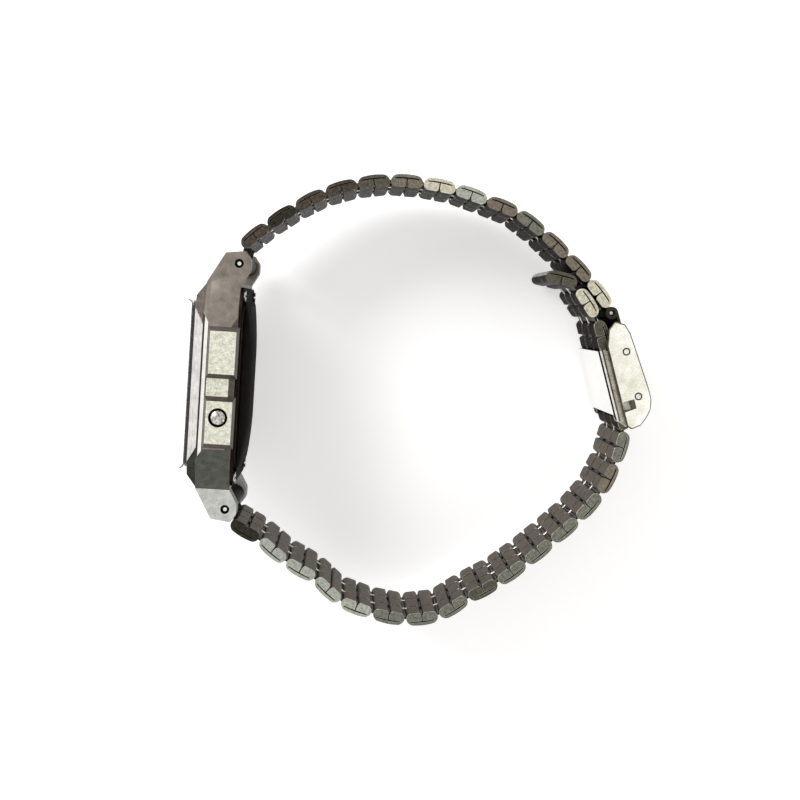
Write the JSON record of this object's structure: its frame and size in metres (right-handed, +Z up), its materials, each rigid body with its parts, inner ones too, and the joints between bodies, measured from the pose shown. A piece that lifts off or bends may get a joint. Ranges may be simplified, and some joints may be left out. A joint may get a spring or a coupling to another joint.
{
  "type": "digital wristwatch",
  "caption": "Square digital wristwatch with side pushers and a folded-link steel bracelet that closes with a folding clasp and a sliding lock.",
  "frame": {"origin": "middle of the bounding box at table height, with the watch lying on its 9 o'clock side", "axes": "+X from the dial's side towards the clasp, +Y towards 12 o'clock, +Z up, out of the table towards the 3 o'clock side. The watch leans by about 6.5 degrees about Y, because it rests on its two side guards and on the edge of its clasp"},
  "size_m": [0.066, 0.0622, 0.0334],
  "materials": {
    "case_grey": "satin grey metallic finish on moulded resin",
    "bezel_chrome": "polished plated bezel",
    "crystal_clear": "clear moulded crystal",
    "film_clear": "thin clear protective film",
    "face_dark": "printed face plate behind the crystal",
    "lcd_grey": "liquid crystal panel with a grey reflector",
    "module_plastic": "moulded module frame",
    "zebra_rubber": "conductive rubber",
    "board_green": "circuit board with its chip, quartz and lamp",
    "cell_steel": "button cell",
    "clip_steel": "thin spring steel",
    "piezo_brass": "piezo disc on brass",
    "back_steel": "brushed steel case back",
    "seal_rubber": "rubber gaskets",
    "pin_steel": "turned steel",
    "pusher_steel": "polished pusher",
    "band_steel": "folded steel strip, brushed outside",
    "clasp_steel": "satin stainless clasp"
  },
  "bodies": {
    "watch_case": {"case_shell": "case_grey", "bezel": "bezel_chrome", "crystal": "crystal_clear", "protective_film": "film_clear", "face_plate": "face_dark", "lcd_panel": "lcd_grey", "module_frame": "module_plastic", "zebra_strips": "zebra_rubber", "circuit_board": "board_green", "battery_cell": "cell_steel", "battery_clip": "clip_steel", "piezo_disc": "piezo_brass", "case_back": "back_steel", "case_seals": "seal_rubber", "back_screws": "pin_steel", "spring_bars": "pin_steel", "pusher_spring_light": "clip_steel", "pusher_spring_mode": "clip_steel", "pusher_spring_alarm": "clip_steel"},
    "pusher_light": {"pusher_light": "pusher_steel"},
    "pusher_mode": {"pusher_mode": "pusher_steel"},
    "pusher_alarm": {"pusher_alarm": "pusher_steel"},
    "upper_end_piece": {"upper_end_piece": "band_steel"},
    "upper_link_01": {"upper_link_01": "band_steel"},
    "upper_link_02": {"upper_link_02": "band_steel"},
    "upper_link_03": {"upper_link_03": "band_steel"},
    "upper_link_04": {"upper_link_04": "band_steel"},
    "upper_link_05": {"upper_link_05": "band_steel"},
    "upper_link_06": {"upper_link_06": "band_steel"},
    "upper_link_07": {"upper_link_07": "band_steel"},
    "upper_link_08": {"upper_link_08": "band_steel"},
    "upper_link_09": {"upper_link_09": "band_steel"},
    "upper_link_10": {"upper_link_10": "band_steel"},
    "upper_link_11": {"upper_link_11": "band_steel"},
    "upper_link_12": {"upper_link_12": "band_steel"},
    "upper_link_13": {"upper_link_13": "band_steel"},
    "upper_clasp_link": {"upper_clasp_link": "band_steel"},
    "lower_end_piece": {"lower_end_piece": "band_steel"},
    "lower_link_01": {"lower_link_01": "band_steel"},
    "lower_link_02": {"lower_link_02": "band_steel"},
    "lower_link_03": {"lower_link_03": "band_steel"},
    "lower_link_04": {"lower_link_04": "band_steel"},
    "lower_link_05": {"lower_link_05": "band_steel"},
    "lower_link_06": {"lower_link_06": "band_steel"},
    "lower_link_07": {"lower_link_07": "band_steel"},
    "lower_link_08": {"lower_link_08": "band_steel"},
    "lower_link_09": {"lower_link_09": "band_steel"},
    "lower_link_10": {"lower_link_10": "band_steel"},
    "lower_link_11": {"lower_link_11": "band_steel"},
    "lower_link_12": {"lower_link_12": "band_steel"},
    "lower_link_13": {"lower_link_13": "band_steel"},
    "lower_link_14": {"lower_link_14": "band_steel"},
    "lower_link_15": {"lower_link_15": "band_steel"},
    "clasp_slider": {"clasp_slider": "clasp_steel", "clamped_links": "band_steel"},
    "fold_blade": {"fold_blade": "clasp_steel"},
    "clasp_cover": {"clasp_cover": "clasp_steel"},
    "lock_flap": {"lock_flap": "clasp_steel"},
    "tail_link_1": {"tail_link_1": "band_steel"},
    "tail_link_2": {"tail_link_2": "band_steel"}
  },
  "joints": [
    {"name": "pusher_light_press", "type": "slide", "parent": "watch_case", "child": "pusher_light", "axis": [0.1135, 0, 0.9935], "range_m": [0, 0.0006], "stiffness_N_per_m": 1500, "springref_m": -0.0004, "deforming": ["pusher_spring_light"]},
    {"name": "pusher_mode_press", "type": "slide", "parent": "watch_case", "child": "pusher_mode", "axis": [0.1135, 0, 0.9935], "range_m": [0, 0.0006], "stiffness_N_per_m": 1500, "springref_m": -0.0004, "deforming": ["pusher_spring_mode"]},
    {"name": "pusher_alarm_press", "type": "slide", "parent": "watch_case", "child": "pusher_alarm", "axis": [-0.1135, 0, -0.9935], "range_m": [0, 0.0006], "stiffness_N_per_m": 1500, "springref_m": -0.0004, "deforming": ["pusher_spring_alarm"]},
    {"name": "upper_bar_hinge", "type": "hinge", "parent": "watch_case", "child": "upper_end_piece", "pos_m": [-0.02518, 0.01736, 0.01655], "axis": [0.1135, 0, 0.9935], "range_deg": [0, 19.36]},
    {"name": "upper_link_01_hinge", "type": "hinge", "parent": "upper_end_piece", "child": "upper_link_01", "pos_m": [-0.02455, 0.02045, 0.01648], "axis": [0.1135, 0, 0.9935], "range_deg": [0, 18.84]},
    {"name": "upper_link_02_hinge", "type": "hinge", "parent": "upper_link_01", "child": "upper_link_02", "pos_m": [-0.02115, 0.02343, 0.01609], "axis": [0.1135, 0, 0.9935], "range_deg": [0, 16.53]},
    {"name": "upper_link_03_hinge", "type": "hinge", "parent": "upper_link_02", "child": "upper_link_03", "pos_m": [-0.01746, 0.02604, 0.01567], "axis": [0.1135, 0, 0.9935], "range_deg": [0, 14.86]},
    {"name": "upper_link_04_hinge", "type": "hinge", "parent": "upper_link_03", "child": "upper_link_04", "pos_m": [-0.01348, 0.02817, 0.01521], "axis": [0.1135, 0, 0.9935], "range_deg": [0, 13.57]},
    {"name": "upper_link_05_hinge", "type": "hinge", "parent": "upper_link_04", "child": "upper_link_05", "pos_m": [-0.00918, 0.02952, 0.01472], "axis": [0.1135, 0, 0.9935], "range_deg": [0, 12.69]},
    {"name": "upper_link_06_hinge", "type": "hinge", "parent": "upper_link_05", "child": "upper_link_06", "pos_m": [-0.00472, 0.03014, 0.01421], "axis": [0.1135, 0, 0.9935], "range_deg": [0, 11.54]},
    {"name": "upper_link_07_hinge", "type": "hinge", "parent": "upper_link_06", "child": "upper_link_07", "pos_m": [-0.00021, 0.02997, 0.0137], "axis": [0.1135, 0, 0.9935], "range_deg": [0, 8.76]},
    {"name": "upper_link_08_hinge", "type": "hinge", "parent": "upper_link_07", "child": "upper_link_08", "pos_m": [0.00425, 0.02928, 0.01319], "axis": [0.1135, 0, 0.9935], "range_deg": [0, 4.26]},
    {"name": "upper_link_09_hinge", "type": "hinge", "parent": "upper_link_08", "child": "upper_link_09", "pos_m": [0.00857, 0.028, 0.01269], "axis": [0.1135, 0, 0.9935], "range_deg": [-4.52, 0]},
    {"name": "upper_link_10_hinge", "type": "hinge", "parent": "upper_link_09", "child": "upper_link_10", "pos_m": [0.01276, 0.02635, 0.01222], "axis": [0.1135, 0, 0.9935], "range_deg": [-16.61, 0]},
    {"name": "upper_link_11_hinge", "type": "hinge", "parent": "upper_link_10", "child": "upper_link_11", "pos_m": [0.01644, 0.02372, 0.0118], "axis": [0.1135, 0, 0.9935], "range_deg": [-27.93, 0]},
    {"name": "upper_link_12_hinge", "type": "hinge", "parent": "upper_link_11", "child": "upper_link_12", "pos_m": [0.01986, 0.02076, 0.01141], "axis": [0.1135, 0, 0.9935], "range_deg": [-25.12, 0]},
    {"name": "upper_link_13_hinge", "type": "hinge", "parent": "upper_link_12", "child": "upper_link_13", "pos_m": [0.02308, 0.01758, 0.01104], "axis": [0.1135, 0, 0.9935], "range_deg": [-19.73, 0]},
    {"name": "upper_clasp_link_hinge", "type": "hinge", "parent": "upper_link_13", "child": "upper_clasp_link", "pos_m": [0.02579, 0.01397, 0.01073], "axis": [0.1135, 0, 0.9935], "range_deg": [-21.69, 0]},
    {"name": "lower_bar_hinge", "type": "hinge", "parent": "watch_case", "child": "lower_end_piece", "pos_m": [-0.02518, -0.016, 0.01655], "axis": [0.1135, 0, 0.9935], "range_deg": [0, 12.67]},
    {"name": "lower_link_01_hinge", "type": "hinge", "parent": "lower_end_piece", "child": "lower_link_01", "pos_m": [-0.0237, -0.01861, 0.01638], "axis": [0.1135, 0, 0.9935], "range_deg": [0, 19.1]},
    {"name": "lower_link_02_hinge", "type": "hinge", "parent": "lower_link_01", "child": "lower_link_02", "pos_m": [-0.01963, -0.02091, 0.01592], "axis": [0.1135, 0, 0.9935], "range_deg": [0, 19.53]},
    {"name": "lower_link_03_hinge", "type": "hinge", "parent": "lower_link_02", "child": "lower_link_03", "pos_m": [-0.01579, -0.0236, 0.01548], "axis": [0.1135, 0, 0.9935], "range_deg": [0, 13.81]},
    {"name": "lower_link_04_hinge", "type": "hinge", "parent": "lower_link_03", "child": "lower_link_04", "pos_m": [-0.01171, -0.02589, 0.01501], "axis": [0.1135, 0, 0.9935], "range_deg": [0, 9.75]},
    {"name": "lower_link_05_hinge", "type": "hinge", "parent": "lower_link_04", "child": "lower_link_05", "pos_m": [-0.00791, -0.0286, 0.01458], "axis": [0.1135, 0, 0.9935], "range_deg": [0, 8.45]},
    {"name": "lower_link_06_hinge", "type": "hinge", "parent": "lower_link_05", "child": "lower_link_06", "pos_m": [-0.0034, -0.02983, 0.01406], "axis": [0.1135, 0, 0.9935], "range_deg": [0, 10.64]},
    {"name": "lower_link_07_hinge", "type": "hinge", "parent": "lower_link_06", "child": "lower_link_07", "pos_m": [0.00126, -0.03018, 0.01353], "axis": [0.1135, 0, 0.9935], "range_deg": [0, 14.31]},
    {"name": "lower_link_08_hinge", "type": "hinge", "parent": "lower_link_07", "child": "lower_link_08", "pos_m": [0.00574, -0.02893, 0.01302], "axis": [0.1135, 0, 0.9935], "range_deg": [0, 8.87]},
    {"name": "lower_link_09_hinge", "type": "hinge", "parent": "lower_link_08", "child": "lower_link_09", "pos_m": [0.00957, -0.02623, 0.01258], "axis": [0.1135, 0, 0.9935], "range_deg": [-14.56, 0]},
    {"name": "lower_link_10_hinge", "type": "hinge", "parent": "lower_link_09", "child": "lower_link_10", "pos_m": [0.01351, -0.02369, 0.01213], "axis": [0.1135, 0, 0.9935], "range_deg": [-22.98, 0]},
    {"name": "lower_link_11_hinge", "type": "hinge", "parent": "lower_link_10", "child": "lower_link_11", "pos_m": [0.0171, -0.02067, 0.01172], "axis": [0.1135, 0, 0.9935], "range_deg": [-22.18, 0]},
    {"name": "lower_link_12_hinge", "type": "hinge", "parent": "lower_link_11", "child": "lower_link_12", "pos_m": [0.0205, -0.01744, 0.01133], "axis": [0.1135, 0, 0.9935], "range_deg": [-19.44, 0]},
    {"name": "lower_link_13_hinge", "type": "hinge", "parent": "lower_link_12", "child": "lower_link_13", "pos_m": [0.02376, -0.01406, 0.01096], "axis": [0.1135, 0, 0.9935], "range_deg": [-16.75, 0]},
    {"name": "lower_link_14_hinge", "type": "hinge", "parent": "lower_link_13", "child": "lower_link_14", "pos_m": [0.02642, -0.0102, 0.01066], "axis": [0.1135, 0, 0.9935], "range_deg": [-12.66, 0]},
    {"name": "lower_link_15_hinge", "type": "hinge", "parent": "lower_link_14", "child": "lower_link_15", "pos_m": [0.02807, -0.00579, 0.01047], "axis": [0.1135, 0, 0.9935], "range_deg": [-9.19, 0]},
    {"name": "clasp_slider_hinge", "type": "hinge", "parent": "lower_link_15", "child": "clasp_slider", "pos_m": [0.02857, -0.00115, 0.01041], "axis": [0.1135, 0, 0.9935], "range_deg": [-10.38, 0]},
    {"name": "blade_fold", "type": "hinge", "parent": "clasp_slider", "child": "fold_blade", "pos_m": [0.02662, 0.00998, 0.01063], "axis": [0.1135, 0, 0.9935], "range_deg": [0, 150]},
    {"name": "cover_fold", "type": "hinge", "parent": "fold_blade", "child": "clasp_cover", "pos_m": [0.03002, 0.00279, 0.01024], "axis": [0.1135, 0, 0.9935], "range_deg": [-143.48, 0]},
    {"name": "lock_flap_hinge", "type": "hinge", "parent": "clasp_slider", "child": "lock_flap", "pos_m": [0.02756, -0.00044, 0.01053], "axis": [0.1135, 0, 0.9935], "range_deg": [0, 60]},
    {"name": "tail_link_1_hinge", "type": "hinge", "parent": "clasp_slider", "child": "tail_link_1", "pos_m": [0.02317, 0.01411, 0.01103], "axis": [0.1135, 0, 0.9935], "range_deg": [0, 30]},
    {"name": "tail_link_2_hinge", "type": "hinge", "parent": "tail_link_1", "child": "tail_link_2", "pos_m": [0.0199, 0.01799, 0.0114], "axis": [0.1135, 0, 0.9935], "range_deg": [0, 35]}
  ],
  "couplings": [
    {"joint": "upper_link_01_hinge", "follows": "upper_bar_hinge", "ratio": 0.9729},
    {"joint": "upper_link_02_hinge", "follows": "upper_bar_hinge", "ratio": 0.8536},
    {"joint": "upper_link_03_hinge", "follows": "upper_bar_hinge", "ratio": 0.7676},
    {"joint": "upper_link_04_hinge", "follows": "upper_bar_hinge", "ratio": 0.701},
    {"joint": "upper_link_05_hinge", "follows": "upper_bar_hinge", "ratio": 0.6553},
    {"joint": "upper_link_06_hinge", "follows": "upper_bar_hinge", "ratio": 0.5957},
    {"joint": "upper_link_07_hinge", "follows": "upper_bar_hinge", "ratio": 0.4524},
    {"joint": "upper_link_08_hinge", "follows": "upper_bar_hinge", "ratio": 0.22},
    {"joint": "upper_link_09_hinge", "follows": "upper_bar_hinge", "ratio": -0.2332},
    {"joint": "upper_link_10_hinge", "follows": "upper_bar_hinge", "ratio": -0.8575},
    {"joint": "upper_link_11_hinge", "follows": "upper_bar_hinge", "ratio": -1.4423},
    {"joint": "upper_link_12_hinge", "follows": "upper_bar_hinge", "ratio": -1.2974},
    {"joint": "upper_link_13_hinge", "follows": "upper_bar_hinge", "ratio": -1.0186},
    {"joint": "upper_clasp_link_hinge", "follows": "upper_bar_hinge", "ratio": -1.1201},
    {"joint": "lower_bar_hinge", "follows": "upper_bar_hinge", "ratio": 0.6545},
    {"joint": "lower_link_01_hinge", "follows": "upper_bar_hinge", "ratio": 0.9861},
    {"joint": "lower_link_02_hinge", "follows": "upper_bar_hinge", "ratio": 1.0085},
    {"joint": "lower_link_03_hinge", "follows": "upper_bar_hinge", "ratio": 0.7134},
    {"joint": "lower_link_04_hinge", "follows": "upper_bar_hinge", "ratio": 0.5035},
    {"joint": "lower_link_05_hinge", "follows": "upper_bar_hinge", "ratio": 0.4361},
    {"joint": "lower_link_06_hinge", "follows": "upper_bar_hinge", "ratio": 0.5492},
    {"joint": "lower_link_07_hinge", "follows": "upper_bar_hinge", "ratio": 0.739},
    {"joint": "lower_link_08_hinge", "follows": "upper_bar_hinge", "ratio": 0.4578},
    {"joint": "lower_link_09_hinge", "follows": "upper_bar_hinge", "ratio": -0.7521},
    {"joint": "lower_link_10_hinge", "follows": "upper_bar_hinge", "ratio": -1.1867},
    {"joint": "lower_link_11_hinge", "follows": "upper_bar_hinge", "ratio": -1.1456},
    {"joint": "lower_link_12_hinge", "follows": "upper_bar_hinge", "ratio": -1.0039},
    {"joint": "lower_link_13_hinge", "follows": "upper_bar_hinge", "ratio": -0.8652},
    {"joint": "lower_link_14_hinge", "follows": "upper_bar_hinge", "ratio": -0.6538},
    {"joint": "lower_link_15_hinge", "follows": "upper_bar_hinge", "ratio": -0.4748},
    {"joint": "clasp_slider_hinge", "follows": "upper_bar_hinge", "ratio": -0.536},
    {"joint": "blade_fold", "follows": "upper_bar_hinge", "ratio": 7.7459},
    {"joint": "cover_fold", "follows": "upper_bar_hinge", "ratio": -7.409}
  ]
}
